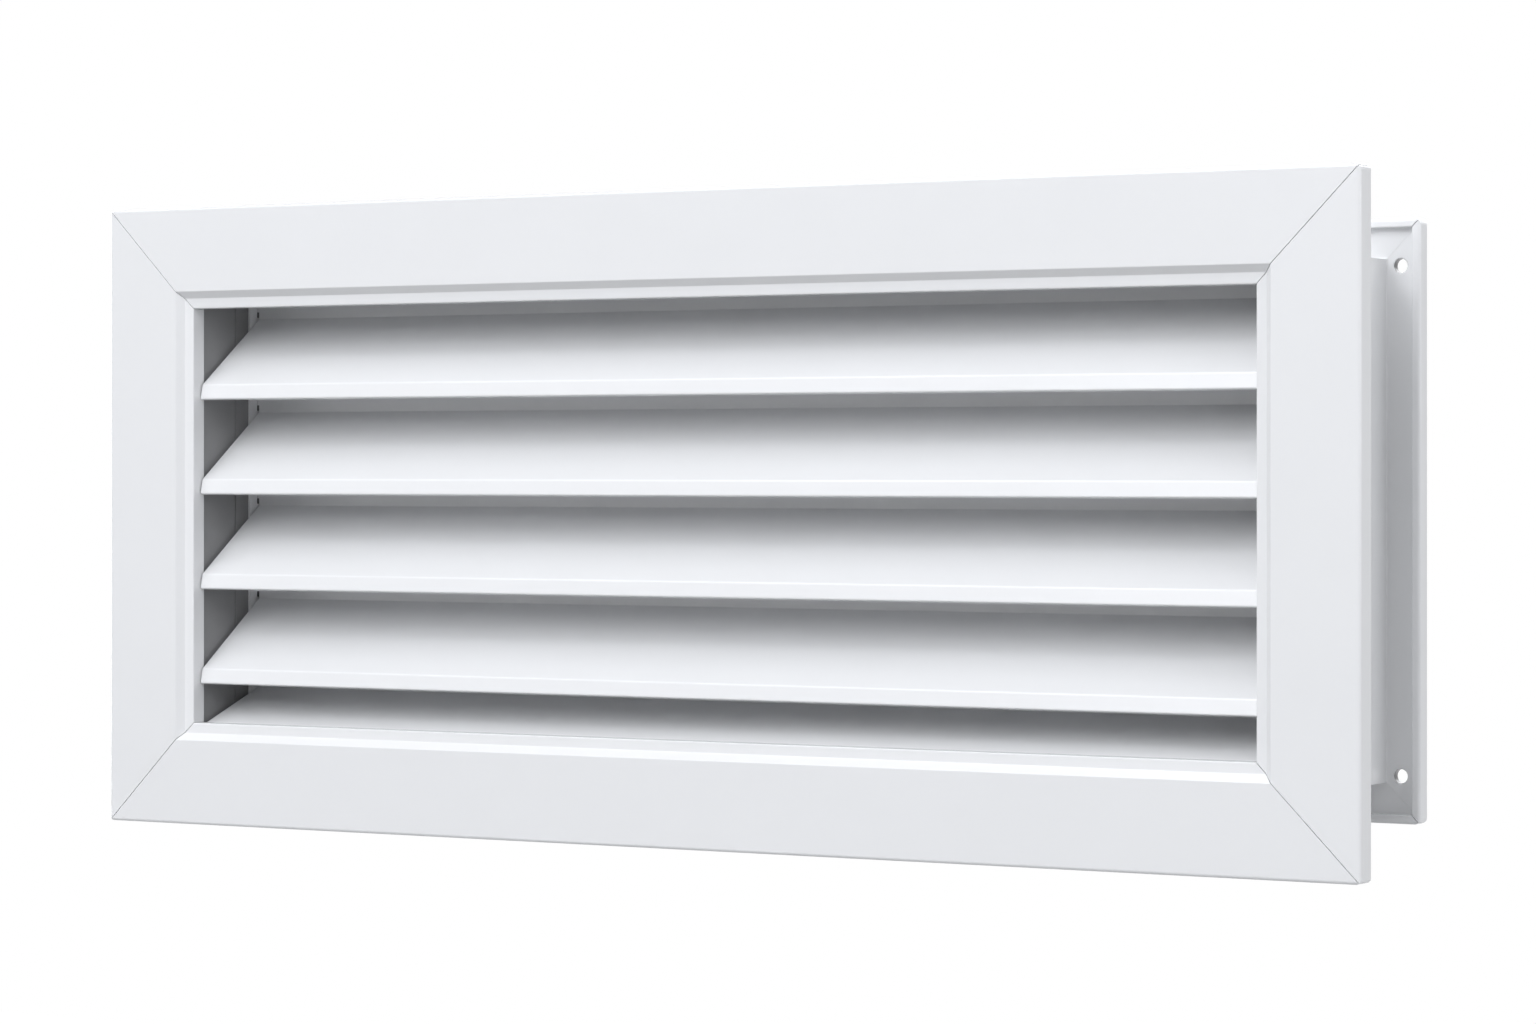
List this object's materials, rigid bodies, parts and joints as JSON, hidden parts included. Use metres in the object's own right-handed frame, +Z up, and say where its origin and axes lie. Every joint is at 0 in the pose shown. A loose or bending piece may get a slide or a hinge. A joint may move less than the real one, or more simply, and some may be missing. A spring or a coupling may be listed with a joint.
{
  "type": "louvered vent",
  "caption": "Louvered transfer vent for a door leaf: mitred front frame with fixed sight-proof blades, and a collared counter-frame that clamps the leaf from behind.",
  "frame": {"origin": "middle of the vent, halfway between its front face and its back face", "axes": "+X across the width, to the right as seen from the front; +Y from the front face to the back; +Z up"},
  "size_m": [0.4, 0.067, 0.18],
  "materials": {
    "white_powder_coat": "satin white powder coat on aluminium",
    "grey_rail_coat": "matt grey coat on the aluminium blade rails",
    "mill_aluminium": "bare mill-finish aluminium"
  },
  "bodies": {
    "root": {"front_top_rail": "white_powder_coat", "front_bottom_rail": "white_powder_coat", "front_left_stile": "white_powder_coat", "front_right_stile": "white_powder_coat", "rear_top_rail": "white_powder_coat", "rear_bottom_rail": "white_powder_coat", "rear_left_stile": "white_powder_coat", "rear_right_stile": "white_powder_coat", "blade_1": "white_powder_coat", "blade_2": "white_powder_coat", "blade_3": "white_powder_coat", "blade_4": "white_powder_coat", "sill_blade": "white_powder_coat", "left_blade_stay": "white_powder_coat", "right_blade_stay": "white_powder_coat", "left_blade_rail": "grey_rail_coat", "right_blade_rail": "grey_rail_coat", "front_key_top_left": "mill_aluminium", "front_key_top_right": "mill_aluminium", "front_key_bottom_left": "mill_aluminium", "front_key_bottom_right": "mill_aluminium", "rear_key_top_left": "mill_aluminium", "rear_key_top_right": "mill_aluminium", "rear_key_bottom_left": "mill_aluminium", "rear_key_bottom_right": "mill_aluminium"}
  },
  "joints": []
}
